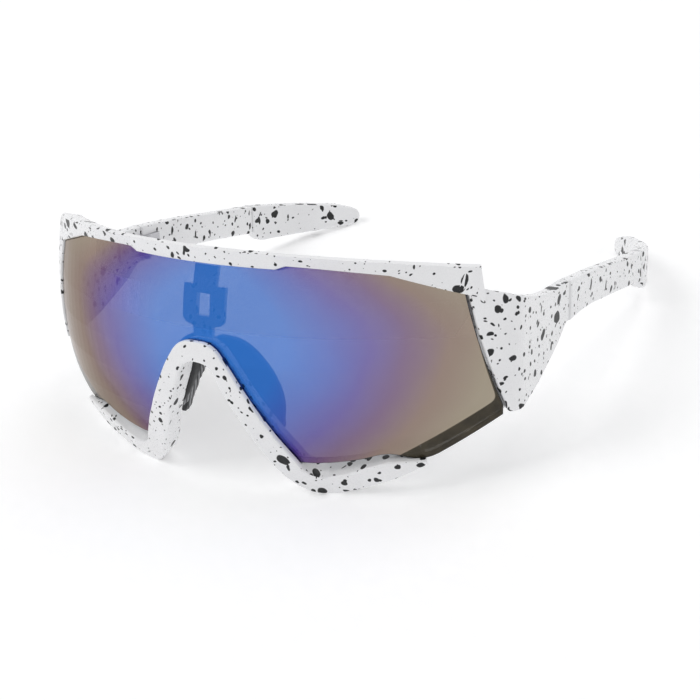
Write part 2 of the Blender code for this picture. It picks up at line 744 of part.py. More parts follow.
def hinge_leaf(name, side, knuckles, others):
    """A leaf on one side of the axis, with its knuckles bored for the screw."""
    origin, frame = hinge_frame()
    face = KNUCKLE_RADIUS + 1.5 * SLIP
    length = leaf_length(side)
    leaf = box(name, (face - LEAF_THICKNESS / 2.0, side * length / 2.0, 0.0),
               (LEAF_THICKNESS, length, LEAF_HEIGHT - 0.2 * mm))
    leaf.data.transform(frame)
    tools = []
    for low, high in others:
        start = frame @ Matrix.Translation((0.0, 0.0, low - SLIP))
        tools.append(rod("clear", KNUCKLE_RADIUS + 2 * SLIP, high - low + 2 * SLIP, start))
    leaf = combine(leaf, tools, "DIFFERENCE")
    barrels = []
    for low, high in knuckles:
        start = frame @ Matrix.Translation((0.0, 0.0, low))
        barrels.append(rod("barrel", KNUCKLE_RADIUS, high - low, start))
    leaf = combine(leaf, barrels, "UNION")
    tools = [rod("bore", SCREW_RADIUS + SCREW_RUNNING, LEAF_HEIGHT * 2.0,
                 frame @ Matrix.Translation((0.0, 0.0, -LEAF_HEIGHT)))]
    for _, place in rivet_places(side):
        start = place @ Matrix.Translation((0.0, 0.0, -2 * mm))
        tools.append(rod("hole", RIVET_RADIUS + SLIP, 4 * mm, start, 12))
    return combine(leaf, tools, "DIFFERENCE"), origin


def build_hinges():
    half = LEAF_HEIGHT / 2.0
    third = LEAF_HEIGHT / 3.0
    gap = SLIP
    front_knuckles = ((-half, -third / 2.0 - gap / 2.0), (third / 2.0 + gap / 2.0, half))
    rear_knuckles = ((-third / 2.0 + gap / 2.0, third / 2.0 - gap / 2.0),)
    front, origin = hinge_leaf("front_leaf", -1.0, front_knuckles, rear_knuckles)
    place_pair("hinge_front_leaf", front, HINGE_METAL, origin)
    rear, origin = hinge_leaf("rear_leaf", 1.0, rear_knuckles, front_knuckles)
    place_pair("hinge_rear_leaf", rear, HINGE_METAL, origin)
    origin, frame = hinge_frame()
    under = -half - SLIP
    low = Matrix.Translation((0.0, 0.0, under - SCREW_HEAD_HEIGHT / 2.0))
    screw = rod("screw", SCREW_RADIUS, LEAF_HEIGHT + SLIP + 0.5 * mm, frame @ low)
    head = rod("head", SCREW_HEAD_RADIUS - 0.2 * mm, SCREW_HEAD_HEIGHT,
               frame @ Matrix.Translation((0.0, 0.0, under - SCREW_HEAD_HEIGHT)),
               tip_radius=SCREW_HEAD_RADIUS)
    screw = combine(screw, [head], "UNION")
    slot = box("slot", (0.0, 0.0, under - SCREW_HEAD_HEIGHT),
               (SCREW_SLOT, 4 * SCREW_HEAD_RADIUS, 0.6 * mm))
    slot.data.transform(frame)
    screw = combine(screw, [slot], "DIFFERENCE")
    place_pair("hinge_screw", screw, STEEL, origin)
    for side, label in ((-1.0, "front_rivet"), (1.0, "rear_rivet")):
        for number, place in rivet_places(side):
            under_head = place @ Matrix.Translation((0.0, 0.0, -LEAF_THICKNESS - 2 * SLIP))
            length = RIVET_DEPTH + LEAF_THICKNESS + 2 * SLIP
            shank = rod("shank", RIVET_RADIUS, length, under_head, 12)
            start = under_head @ Matrix.Translation((0.0, 0.0, 0.1 * mm - RIVET_HEAD_HEIGHT))
            cap = rod("cap", RIVET_HEAD_RADIUS - 0.35 * mm, RIVET_HEAD_HEIGHT, start, 12,
                      tip_radius=RIVET_HEAD_RADIUS)
            rivet = combine(shank, [cap], "UNION")
            place_pair(label, rivet, STEEL, origin, "_" + str(number))


# ======================================================================================
# temples
# ======================================================================================
TIP_START = SEAM + TEMPLE_LENGTH * TIP_SHARE


def core_box(name, spare):
    start = TIP_START - CORE_LENGTH * 0.45
    centre = start + CORE_LENGTH / 2.0
    return box(name, (centre, (SHIELD_BACK - SHIELD_FRONT) / 2.0, CORE_Z),
               (CORE_LENGTH + 2 * spare, CORE_THICKNESS + 2 * spare, CORE_HEIGHT + 2 * spare),
               CORE_SLOPE)


def build_temples():
    origin = hinge_frame()[0]
    root = SEAM + SEAM_GAP
    low = TEMPLE_TOP - TEMPLE_HEIGHT
    front = TEMPLE_THICKNESS - SHIELD_BACK
    arm = plate("arm", [
        (root, TEMPLE_TOP, "corner"),
        (root + 18 * mm, TEMPLE_TOP - 1.3 * mm, "smooth"),
        (root + 40 * mm, TEMPLE_TOP - 3.5 * mm, "smooth"),
        (TIP_START, TEMPLE_TOP - 5.2 * mm, "corner"),
        (TIP_START, low - 3.4 * mm, "corner"),
        (root + 42 * mm, low - 1.8 * mm, "smooth"),
        (root + 26 * mm, low - 0.4 * mm, "smooth"),
        (root + 12 * mm, low + 0.6 * mm, "smooth"),
        (root, low, "corner"),
    ], front, -SHIELD_BACK, edge=0.7 * mm)
    arm = combine(arm, [core_box("arm_slot", SLIP)], "DIFFERENCE")
    arm = wrap(arm)
    arm = combine(arm, rivet_holes(1.0), "DIFFERENCE")
    place_pair("temple", arm, WHITE, origin)

    start = TIP_START + SEAM_GAP
    end = root + TEMPLE_LENGTH
    tip = plate("tip", [
        (start, TEMPLE_TOP - 5.0 * mm, "corner"),
        (start + 9 * mm, TEMPLE_TOP - 6.2 * mm, "smooth"),
        (start + 28 * mm, TEMPLE_TOP - 8.2 * mm, "smooth"),
        (end - 5.0 * mm, TEMPLE_TOP - 10.2 * mm, "smooth"),
        (end - 0.4 * mm, TEMPLE_TOP - 12.8 * mm, "smooth"),
        (end - 1.6 * mm, low - 5.2 * mm, "smooth"),
        (end - 8.0 * mm, low - 6.0 * mm, "smooth"),
        (start + 24 * mm, low - 6.6 * mm, "smooth"),
        (start + 10 * mm, low - 6.8 * mm, "smooth"),
        (start + 3.0 * mm, low - 6.0 * mm, "smooth"),
        (start + 1.0 * mm, low - 3.6 * mm, "corner"),
        (start, low - 3.4 * mm, "corner"),
    ], front, -SHIELD_BACK, edge=0.8 * mm)
    tip = combine(tip, [core_box("tip_slot", SLIP)], "DIFFERENCE")
    place_pair("temple_tip", wrap(tip), WHITE, origin)
    place_pair("temple_core", wrap(core_box("core", 0.0)), STEEL, origin)


# ======================================================================================
# stance on the floor
# ======================================================================================
def world_points(names):
    for obj in PARTS.objects:
        if obj.name.startswith(names):
            for vertex in obj.data.vertices:
                yield vertex.co + obj.location


def find_stance():
    """Slope and height of the line under the nose frame and the temple tips."""
    noses = list(world_points("nose_frame"))
    tips = list(world_points("temple_tip"))
    slope = 0.2
    for _ in range(20):
        nose = min(noses, key=lambda point: point.z - slope * point.y)
        tip = min(tips, key=lambda point: point.z - slope * point.y)
        slope = (tip.z - nose.z) / (tip.y - nose.y)
    return slope, nose


def trim_feet(slope, nose):
    """Flatten what meets the floor, so that the glasses stand on real flat faces."""
    tilt = math.atan(slope)
    floor = Matrix.Translation(nose) @ Matrix.Rotation(tilt, 4, "X")
    for obj in list(PARTS.objects):
        if not obj.name.startswith(("nose_frame", "temple_tip")):
            continue
        bm = bmesh.new()
        bm.from_mesh(obj.data)
        place = floor @ Vector((0.0, 0.0, FLOOR_TRIM)) - obj.location
        normal = floor.to_3x3() @ Vector((0.0, 0.0, -1.0))
        geometry = bm.verts[:] + bm.edges[:] + bm.faces[:]
        cut = bmesh.ops.bisect_plane(bm, geom=geometry, plane_co=place, plane_no=normal,
                                     dist=0.001 * mm, clear_outer=True)
        edges = [item for item in cut["geom_cut"] if isinstance(item, bmesh.types.BMEdge)]
        bmesh.ops.holes_fill(bm, edges=edges, sides=0)
        face_outward(bm)
        bm.to_mesh(obj.data)
        bm.free()
        obj.data.set_sharp_from_angle(angle=math.radians(35.0))


def stand_up():
    """Tilt the stance so that the floor is level at Z = 0 and the middle is at X = Y = 0."""
    slope, nose = find_stance()
    trim_feet(slope, nose)
    STANCE.rotation_euler = (-math.atan(slope), 0.0, 0.0)
    bpy.context.view_layer.update()
    corners = []
    for obj in PARTS.objects:
        corners += [obj.matrix_world @ vertex.co for vertex in obj.data.vertices]
    ys = [corner.y for corner in corners]
    low = min(corner.z for corner in corners)
    STANCE.location = (0.0, -(min(ys) + max(ys)) / 2.0, -low)
    bpy.context.view_layer.update()


# ======================================================================================
clear_scene()
CUTTERS = new_collection("construction")
PARTS = new_collection("sport_sunglasses")
STANCE = bpy.data.objects.new("stance", None)
bpy.context.scene.collection.objects.link(STANCE)

WHITE = material("speckled_white", (0.86, 0.86, 0.87), 0.25)
MIRROR_LENS = material("mirror_lens", (0.12, 0.24, 0.62), 0.08, 0.6)
RUBBER = material("pad_rubber", (0.03, 0.03, 0.035), 0.65)
HINGE_METAL = material("hinge_metal", (0.62, 0.62, 0.64), 0.35, 1.0)
STEEL = material("steel", (0.5, 0.5, 0.52), 0.3, 1.0)

build_front_frame()
build_lens()
build_nose_frame()
build_centre_clip()
build_nose_pads()
build_hinges()
build_temples()
stand_up()
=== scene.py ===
import json
import math

import bmesh
import bpy
from mathutils import Matrix, Vector


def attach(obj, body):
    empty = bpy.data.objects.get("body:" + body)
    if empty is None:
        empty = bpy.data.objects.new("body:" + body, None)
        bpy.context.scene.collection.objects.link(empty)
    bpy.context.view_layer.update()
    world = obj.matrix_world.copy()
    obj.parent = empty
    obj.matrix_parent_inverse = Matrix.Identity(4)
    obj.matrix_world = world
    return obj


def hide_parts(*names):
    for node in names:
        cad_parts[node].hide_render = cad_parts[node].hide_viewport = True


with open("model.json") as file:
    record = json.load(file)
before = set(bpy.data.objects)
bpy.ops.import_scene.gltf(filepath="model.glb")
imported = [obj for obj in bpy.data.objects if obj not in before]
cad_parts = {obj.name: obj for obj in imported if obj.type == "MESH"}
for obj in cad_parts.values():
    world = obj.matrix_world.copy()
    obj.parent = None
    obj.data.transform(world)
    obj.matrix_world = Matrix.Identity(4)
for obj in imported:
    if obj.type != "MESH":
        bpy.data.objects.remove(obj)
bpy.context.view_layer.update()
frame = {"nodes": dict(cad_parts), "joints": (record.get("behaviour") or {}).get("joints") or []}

mm = 0.001

# ======================================================================================
# the front's own frame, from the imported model
# ======================================================================================
# The front leans with the hinge pins, so the pins' direction is its height axis.
UP = Vector(frame["joints"][0]["axis"]).normalized()
if UP.z < 0.0:
    UP = -UP
ACROSS = Vector((1.0, 0.0, 0.0))
BACK = UP.cross(ACROSS).normalized()
# The lens wraps round the face on one radius and curves in height on another, whose centre
# lies at RISE_CENTRE. FRONT_ORIGIN is the front's own zero point.
FACE_RADIUS = 92.0 * mm
RISE_RADIUS = 70.0 * mm
RISE_CENTRE = -14.4 * mm
FRONT_ORIGIN = Vector((0.0, -0.073766, 0.055621))


def front_point(world):
    """A world point in the front's frame: across, back and up, in metres."""
    offset = Vector(world) - FRONT_ORIGIN
    return offset.dot(ACROSS), offset.dot(BACK), offset.dot(UP)


def rise(z):
    """How much further back the lens lies at a height than at height zero."""
    square = RISE_RADIUS ** 2
    return math.sqrt(square - RISE_CENTRE ** 2) - math.sqrt(square - (z - RISE_CENTRE) ** 2)


def lens_heading(point):
    """The angle round the face of a point in the front's frame, zero in the middle."""
    x, y, z = point
    return math.atan2(x, FACE_RADIUS - (y - rise(z)))


def flat_point(world):
    """A lens point laid flat: distance along the face, and height."""
    point = front_point(world)
    return FACE_RADIUS * lens_heading(point), point[2]


def clamp(value):
    return min(1.0, max(0.0, value))


# ======================================================================================
# shader helpers
# ======================================================================================
def linear(code):
    """A colour written as six sRGB hex digits, as linear numbers with alpha."""
    parts = [int(code[i:i + 2], 16) / 255.0 for i in (0, 2, 4)]
    return tuple(p / 12.92 if p <= 0.04045 else ((p + 0.055) / 1.055) ** 2.4
                 for p in parts) + (1.0,)


# Sockets of the Mix node by data type: first value, second value, result.
MIX_SOCKETS = {"RGBA": (6, 7, 2), "VECTOR": (4, 5, 1)}


class Shader:
    """A material whose nodes are added one call at a time."""

    def __init__(self, name):
        self.material = bpy.data.materials.new(name)
        self.material.use_nodes = True
        self.tree = self.material.node_tree
        self.principled = self.tree.nodes["Principled BSDF"]

    def feed(self, socket, value):
        if isinstance(value, bpy.types.NodeSocket):
            self.tree.links.new(value, socket)
        else:
            socket.default_value = value

    def node(self, kind, inputs=None, **settings):
        made = self.tree.nodes.new(kind)
        for key, value in settings.items():
            setattr(made, key, value)
        for key, value in (inputs or {}).items():
            self.feed(made.inputs[key], value)
        return made

    def math(self, operation, a, b=0.0, c=0.0):
        made = self.node("ShaderNodeMath", {0: a, 1: b, 2: c}, operation=operation)
        return made.outputs[0]

    def vector(self, operation, a, b=(0.0, 0.0, 0.0)):
        made = self.node("ShaderNodeVectorMath", {0: a, 1: b}, operation=operation)
        return made.outputs[0]

    def spread(self, value, low, high, to_low=0.0, to_high=1.0):
        made = self.node("ShaderNodeMapRange", {
            "Value": value, "From Min": low, "From Max": high,
            "To Min": to_low, "To Max": to_high})
        return made.outputs[0]

    def split(self, vector):
        return self.node("ShaderNodeSeparateXYZ", {0: vector}).outputs

    def join(self, x, y, z=0.0):
        return self.node("ShaderNodeCombineXYZ", {0: x, 1: y, 2: z}).outputs[0]

    def blend(self, share, a, b, kind="RGBA"):
        first, second, result = MIX_SOCKETS[kind]
        made = self.node("ShaderNodeMix", {0: share, first: a, second: b}, data_type=kind)
        return made.outputs[result]

    def ramp(self, value, stops):
        made = self.node("ShaderNodeValToRGB", {0: value})
        points = made.color_ramp.elements
        points[0].position, points[0].color = stops[0]
        points[1].position, points[1].color = stops[-1]
        for position, colour in stops[1:-1]:
            points.new(position).color = colour
        return made.outputs[0]

    def noise(self, coords, scale, detail=2.0, roughness=0.5, output="Fac"):
        return self.node("ShaderNodeTexNoise", {
            "Vector": coords, "Scale": scale, "Detail": detail,
            "Roughness": roughness}).outputs[output]

    def attribute(self, name, output="Vector"):
        return self.node("ShaderNodeAttribute", attribute_name=name).outputs[output]

    def place(self):
        return self.node("ShaderNodeTexCoord").outputs["Object"]

    def bump(self, height, distance, strength=1.0, under=None):
        inputs = {"Height": height, "Distance": distance, "Strength": strength}
        if under is not None:
            inputs["Normal"] = under
        return self.node("ShaderNodeBump", inputs).outputs[0]

    def set(self, **values):
        for key, value in values.items():
            self.feed(self.principled.inputs[key.replace("_", " ")], value)


# Where the side and top sheets are cut from the pattern, so that no two sheets repeat.
SIDE_SHEET_SHIFT = (0.31, 0.07, 0.0)
TOP_SHEET_SHIFT = (0.11, 0.43, 0.0)


def facing_sheet(shader, place):
    """Flat coordinates on the plane (side, front or top) that a surface faces most."""
    normal = shader.node("ShaderNodeTexCoord").outputs["Normal"]
    lean_x, lean_y, lean_z = shader.split(shader.vector("ABSOLUTE", normal))
    x, y, z = shader.split(place)
    sideways = shader.math("GREATER_THAN", lean_x, shader.math("MAXIMUM", lean_y, lean_z))
    upward = shader.math("GREATER_THAN", lean_z, shader.math("MAXIMUM", lean_x, lean_y))
    side = shader.vector("ADD", shader.join(y, z), SIDE_SHEET_SHIFT)
    top = shader.vector("ADD", shader.join(x, y), TOP_SHEET_SHIFT)
    upright = shader.blend(sideways, shader.join(x, z), side, "VECTOR")
    return shader.blend(upward, upright, top, "VECTOR")


# A spot's radius runs from the smallest share of the layer's radius up to all of it. The
# power makes small spots the common ones.
SMALLEST_SPOT = 0.35
SPOT_POWER = 1.8


def speckles(shader, sheet, cell, radius, share, soft, shift, stretch=1.0, turn=0.0):
    """Mask of spots of random size, with soft edges, in the given share of the cells.

    Shift slides the pattern, and stretch and turn draw its spots out into slanted strokes.
    """
    placed = shader.node("ShaderNodeMapping", {
        "Vector": sheet, "Rotation": (0.0, 0.0, turn),
        "Location": (shift, shift * 0.7, 0.0)}).outputs[0]
    placed = shader.vector("MULTIPLY", placed, (1.0, stretch, 1.0))
    cells = shader.node("ShaderNodeTexVoronoi", {
        "Vector": placed, "Scale": 1.0 / cell, "Randomness": 1.0},
        feature="F1", voronoi_dimensions="2D")
    chance = shader.node("ShaderNodeSeparateColor", {0: cells.outputs["Color"]})
    size = shader.spread(chance.outputs[0], 1.0 - share, 1.0, 0.0, 1.0)
    size = shader.math("MULTIPLY", shader.math("POWER", size, SPOT_POWER), 1.0 - SMALLEST_SPOT)
    size = shader.math("ADD", size, SMALLEST_SPOT)
    held = shader.math("GREATER_THAN", chance.outputs[0], 1.0 - share)
    reach = shader.math("MULTIPLY", size, radius / cell)
    depth = shader.math("SUBTRACT", reach, cells.outputs["Distance"])
    mask = shader.spread(depth, 0.0, soft / cell)
    return shader.math("MULTIPLY", mask, held)


# How far noise pushes the outlines of the spots out of round.
SPOT_WOBBLE = 2.0 * mm
GRAIN_HEIGHT = 0.03 * mm
PAINT_HEIGHT = 0.06 * mm


def speckled_white():
    """Gloss white plastic with spattered charcoal paint: dots, blobs and short strokes."""
    s = Shader("speckled_white_plastic")
    place = s.place()
    sheet = facing_sheet(s, place)
    wobble = s.noise(place, 300.0, 1.0, 0.5, "Color")
    wobble = s.vector("SUBTRACT", wobble, (0.5, 0.5, 0.5))
    wobble = s.vector("MULTIPLY", wobble, (SPOT_WOBBLE, SPOT_WOBBLE, 0.0))
    sheet = s.vector("ADD", sheet, wobble)
    layers = [
        speckles(s, sheet, 8.4 * mm, 2.00 * mm, 0.50, 0.14 * mm, 13.0 * mm),
        speckles(s, sheet, 4.6 * mm, 1.10 * mm, 0.62, 0.12 * mm, 21.0 * mm),
        speckles(s, sheet, 3.0 * mm, 0.66 * mm, 0.62, 0.11 * mm, 35.0 * mm),
        speckles(s, sheet, 2.3 * mm, 0.40 * mm, 0.36, 0.10 * mm, 47.0 * mm),
        speckles(s, sheet, 4.2 * mm, 0.62 * mm, 0.45, 0.10 * mm, 59.0 * mm,
                 stretch=0.38, turn=0.35),
    ]
    paint = layers[0]
    for layer in layers[1:]:
        paint = s.math("MAXIMUM", paint, layer)
    cloud = s.noise(place, 55.0, 3.0, 0.55)
    white = s.ramp(cloud, [(0.25, linear("eeeeef")), (0.75, linear("f5f5f6"))])
    thin = s.noise(place, 900.0, 2.0, 0.6)
    black = s.ramp(thin, [(0.35, linear("08090a")), (0.75, linear("1c1d20"))])
    grain = s.noise(place, 2600.0, 2.0, 0.5)
    rough = s.spread(grain, 0.3, 0.7, 0.24, 0.34)
    rough = s.math("ADD", rough, s.math("MULTIPLY", paint, 0.14))
    skin = s.bump(grain, GRAIN_HEIGHT, 0.35)
    raised = s.bump(paint, PAINT_HEIGHT, 0.6, skin)
    s.set(Base_Color=s.blend(paint, white, black), Roughness=rough, Normal=raised,
          Specular_IOR_Level=0.32, Coat_Weight=0.1, Coat_Roughness=0.1)
    return s.material


# How the lens looks against a white backdrop, from its middle to its sides, at tones from 0 to
# TONE_SPAN; the pale olive to beige towards the sides is partly the coat's own colour shift and
# partly painted grazing reflection.
# The coat is painted darker by the share of white that shows through it.
TONE_SPAN = 100.0 * mm
COAT_AND_GRAZING_STOPS = [
    (0.00, "6a8bca"), (0.20, "6c8bca"), (0.30, "727fbb"), (0.40, "7b72a5"),
    (0.50, "85728a"), (0.60, "938279"), (0.72, "9d9383"), (1.00, "aea89a"),
]
# The coat covers less in the middle of the lens than beyond the second of these tones.
COAT_COVER = 0.80
SIDE_COVER = 0.985
COVER_TONES = (42.0 * mm, 62.0 * mm)
TINT_COVER = 0.40
DARKEST_COAT = 0.003
# The bluest spot of the coat, and how fast tone grows with the square of height, in 1/m.
COAT_MIDDLE_RUN = 6.0 * mm
COAT_MIDDLE_Z = -10.0 * mm
TONE_ABOVE = 60.0
TONE_BELOW = 20.0
# The uncoated band: its width along the lower edge, its rounded corner, its soft line.
BAND_BELOW = 4.4 * mm
BAND_CORNER = 3.0 * mm
BAND_SOFT = 0.12 * mm
LENS_DUST_HEIGHT = 0.002 * mm


def behind_coat(code, place):
    """The coat's own colour where its look against white is the one given."""
    full, sparse = COVER_TONES[1] / TONE_SPAN, COVER_TONES[0] / TONE_SPAN
    cover = COAT_COVER + (SIDE_COVER - COAT_COVER) * clamp((place - sparse) / (full - sparse))
    white = (1.0 - cover) * (1.0 - TINT_COVER)
    return tuple(max(DARKEST_COAT, (part - white) / cover)
                 for part in linear(code)[:3]) + (1.0,)


def coat_tone(s):
    """Distance from the bluest spot, in metres, growing faster above and below it."""
    run, z, _ = s.split(s.attribute("sheet"))
    across = s.math("ABSOLUTE", s.math("SUBTRACT", run, COAT_MIDDLE_RUN))
    level = s.math("SUBTRACT", z, COAT_MIDDLE_Z)
    above = s.math("POWER", s.math("MAXIMUM", level, 0.0), 2.0)
    below = s.math("POWER", s.math("MINIMUM", level, 0.0), 2.0)
    above = s.math("MULTIPLY", above, TONE_ABOVE)
    below = s.math("MULTIPLY", below, TONE_BELOW)
    drift = s.spread(s.noise(s.place(), 34.0), 0.3, 0.7, -1.0 * mm, 4.0 * mm)
    return s.math("ADD", s.math("ADD", across, above), s.math("ADD", below, drift))


def coated_part(s):
    """One on the coat, zero on the bare band along the lower and side edges."""
    below, beside, margin = s.split(s.attribute("rim_edges"))
    lower = s.math("SUBTRACT", below, BAND_BELOW)
    side = s.math("SUBTRACT", beside, margin)
    inside = s.math("SMOOTH_MIN", lower, side, BAND_CORNER)
    return s.spread(inside, -BAND_SOFT, BAND_SOFT)


def mirror_coating():
    """Mirror coat: blue in the middle through violet and mauve to olive at the sides, the palest
    of it partly painted grazing reflection.
    """
    s = Shader("mirror_coating")
    tone = coat_tone(s)
    # Towards the sides the ramp pales to beige, partly a painted grazing reflection.
    colour = s.ramp(s.math("DIVIDE", tone, TONE_SPAN),
                    [(place, behind_coat(code, place)) for place, code in COAT_AND_GRAZING_STOPS])
    cover = s.spread(tone, *COVER_TONES, COAT_COVER, SIDE_COVER)
    coated = coated_part(s)
    # The bare band's dark olive is partly the uncoated lens's tint and partly painted shade of
    # the frame's rim behind it, drawn nearly opaque.
    cloud = s.noise(s.place(), 260.0, 3.0, 0.6)
    bare = s.ramp(cloud, [(0.3, linear("2f2b20")), (0.7, linear("453f30"))])
    bare_cover = s.spread(coated, 0.0, 1.0, 0.93, 1.0)
    dust = s.noise(s.place(), 300.0, 3.0, 0.6)
    s.set(Base_Color=s.blend(coated, bare, colour),
          Metallic=s.spread(coated, 0.0, 1.0, 0.2, 1.0),
          Roughness=s.spread(dust, 0.3, 0.7, 0.14, 0.17),
          Alpha=s.math("MINIMUM", cover, bare_cover),
          Normal=s.bump(dust, LENS_DUST_HEIGHT, 0.1),
          Specular_Tint=(0.68, 0.63, 0.62, 1.0))
    return s.material


def lens_tint():
    """Inner face of the lens: smoke grey polycarbonate, a little see-through."""
    s = Shader("lens_tint")
    cloud = s.noise(s.place(), 40.0)
    colour = s.ramp(cloud, [(0.3, linear("1d2027")), (0.7, linear("272a31"))])
    dust = s.noise(s.place(), 240.0, 3.0, 0.6)
    s.set(Base_Color=colour, Roughness=s.spread(dust, 0.3, 0.7, 0.08, 0.12),
          Alpha=TINT_COVER, Coat_Weight=0.2, Coat_Roughness=0.05,
          Normal=s.bump(dust, LENS_DUST_HEIGHT, 0.1))
    return s.material


# How far the painted highlight line reaches up the cut edge from the bottom of the lens.
PAINTED_HIGHLIGHT_REACH = 0.9 * mm
NO_PAINTED_HIGHLIGHT_REACH = -1.0


def lens_rim(name, highlight_reach):
    """Polished rim of the lens: near black, partly the smoke tint and partly painted shade of
    the gap against the frame, with a painted highlight within a reach of the lower edge.
    """
    s = Shader(name)
    streak = s.noise(s.place(), 600.0)
    # Near black: partly the lens's smoke tint, partly painted shade of the gap against the
    # frame.
    dark = s.ramp(streak, [(0.3, linear("0c0d12")), (0.7, linear("191a21"))])
    light = s.ramp(streak, [(0.3, linear("8f8e89")), (0.7, linear("b3b2ac"))])
    below = s.split(s.attribute("rim_edges"))[0]
    # The light strip along the lower edge is a painted highlight.
    bare = s.math("LESS_THAN", below, highlight_reach)
    s.set(Base_Color=s.blend(bare, dark, light),
          Roughness=s.spread(streak, 0.3, 0.7, 0.2, 0.35),
          Normal=s.bump(streak, 0.01 * mm, 0.3))
    return s.material


def pad_rubber():
    """Soft matt rubber of the nose pads: charcoal, fine grained, with a painted highlight in
    pale grey on the rib crests.
    """
    s = Shader("soft_pad_rubber")
    place = s.place()
    grain = s.noise(place, 2200.0, 4.0, 0.65)
    cloud = s.noise(place, 160.0, 2.0, 0.5)
    dark = s.ramp(cloud, [(0.3, linear("141517")), (0.7, linear("1f2023"))])
    # The pale grey on the rib crests is a painted highlight, broken up by the grain.
    crest = s.spread(s.attribute("rib", "Fac"), 0.25, 0.9)
    painted_crest_highlight = s.math("MULTIPLY", crest, s.spread(grain, 0.3, 0.6, 0.5, 1.0))
    s.set(Base_Color=s.blend(painted_crest_highlight, dark, linear("9b9c9f")),
          Roughness=s.spread(grain, 0.3, 0.7, 0.48, 0.66),
          Normal=s.bump(grain, 0.04 * mm, 0.45), Specular_IOR_Level=0.45,
          Sheen_Weight=0.15, Sheen_Roughness=0.5)
    return s.material


# The brushing is this many times finer along one axis than along the other two.
BRUSHED_UP = (1.0, 1.0, 14.0)
BRUSHED_ACROSS = (14.0, 1.0, 1.0)


def satin_metal(name, light, dark, rough, brushing):
    """Brushed metal: fine lines in its colour, its roughness and its surface."""
    s = Shader(name)
    place = s.vector("MULTIPLY", s.place(), brushing)
    lines = s.noise(place, 900.0, 3.0, 0.6)
    colour = s.ramp(lines, [(0.3, linear(dark)), (0.7, linear(light))])
    s.set(Base_Color=colour, Metallic=1.0,
          Roughness=s.spread(lines, 0.3, 0.7, rough - 0.06, rough + 0.08),
          Normal=s.bump(lines, 0.01 * mm, 0.3))
    return s.material


WHITE = speckled_white()
MIRROR = mirror_coating()
TINT = lens_tint()
EDGE = lens_rim("lens_cut_edge", PAINTED_HIGHLIGHT_REACH)
CHAMFER = lens_rim("lens_chamfer", NO_PAINTED_HIGHLIGHT_REACH)
RUBBER = pad_rubber()
HINGE = satin_metal("hinge_satin_metal", "c9c9cc", "a6a6aa", 0.34, BRUSHED_UP)
STEEL = satin_metal("screw_steel", "b4b5b8", "8c8d91", 0.26, BRUSHED_ACROSS)


# ======================================================================================
# pieces
# ======================================================================================
def new_piece(name, mesh, body, node):
    """A visible piece that rides with a body and replaces a CAD node."""
    piece = bpy.data.objects.new(name, mesh)
    bpy.context.scene.collection.objects.link(piece)
    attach(piece, body)
    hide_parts(node)


# The straight stretches of the lens's outline: across each runs a unit direction, whose
# largest reach among the vertices is the edge.
LOWER_EDGE_SLOPE = math.radians(28.2)
ACROSS_LOWER_EDGE = (math.sin(LOWER_EDGE_SLOPE), -math.cos(LOWER_EDGE_SLOPE))
ACROSS_SIDE_EDGE = (0.949, 0.316)
# The bare band at the side widens down to the lower corner.
SIDE_BAND_TOP = 0.4 * mm
SIDE_BAND_GROWTH = 1.3 * mm
SIDE_CORNER_DROP = 31.0 * mm
# A lens face is outer or inner when its normal is this close to square to the surface.
SQUARE_ON = 0.95
ALONG_CHAMFER = 0.3
LENS_FINISHES = (MIRROR, TINT, CHAMFER, EDGE)


def lens_finish(face):
    """Index of a lens face's finish, from how the face lies to the curved surface."""
    point = front_point(face.center)
    heading = lens_heading(point)
    slope = (point[2] - RISE_CENTRE) / RISE_RADIUS
    outward = (ACROSS * math.sin(heading) - BACK * math.cos(heading)
               + UP * math.cos(heading) * slope).normalized()
    facing = face.normal.dot(outward)
    if facing > SQUARE_ON:
        return LENS_FINISHES.index(MIRROR)
    if facing < -SQUARE_ON:
        return LENS_FINISHES.index(TINT)
    if abs(facing) > ALONG_CHAMFER:
        return LENS_FINISHES.index(CHAMFER)
    return LENS_FINISHES.index(EDGE)


def build_lens():
    """The CAD lens with its faces sorted into coat, inner face, chamfer and cut edge."""
    mesh = frame["nodes"]["lens"].data.copy()
    mesh.name = "mirror_lens_shell"
    mesh.materials.clear()
    for finish in LENS_FINISHES:
        mesh.materials.append(finish)
    outer = set()
    for face in mesh.polygons:
        face.material_index = lens_finish(face)
        if face.material_index == LENS_FINISHES.index(MIRROR):
            outer.update(face.vertices)
    flat = [flat_point(v.co) for v in mesh.vertices]
    below = [abs(run) * ACROSS_LOWER_EDGE[0] + z * ACROSS_LOWER_EDGE[1] for run, z in flat]
    beside = [abs(run) * ACROSS_SIDE_EDGE[0] + z * ACROSS_SIDE_EDGE[1] for run, z in flat]
    lowest = max(below[i] for i in outer)
    widest = max(beside[i] for i in outer)
    sheet = mesh.attributes.new("sheet", "FLOAT_VECTOR", "POINT")
    edges = mesh.attributes.new("rim_edges", "FLOAT_VECTOR", "POINT")
    for i, (run, z) in enumerate(flat):
        sheet.data[i].vector = (run, z, 0.0)
        margin = SIDE_BAND_TOP + SIDE_BAND_GROWTH * clamp(-z / SIDE_CORNER_DROP)
        edges.data[i].vector = (lowest - below[i], widest - beside[i], margin)
    new_piece("mirror_lens_shell", mesh, "front", "lens")


PAD_VOXEL = 0.3 * mm
RIB_PITCH = 2.1 * mm
RIB_DEPTH = 0.24 * mm
RIB_SLANT = 1.5
# Ribs start this far behind the front of the pad, and fade in over the next stretch. They
# also fade in as the surface turns towards the nose.
RIB_START = 3.2 * mm
RIB_FADE = 0.8 * mm
RIB_TURN_START = 0.25
RIB_TURN_FADE = 0.3


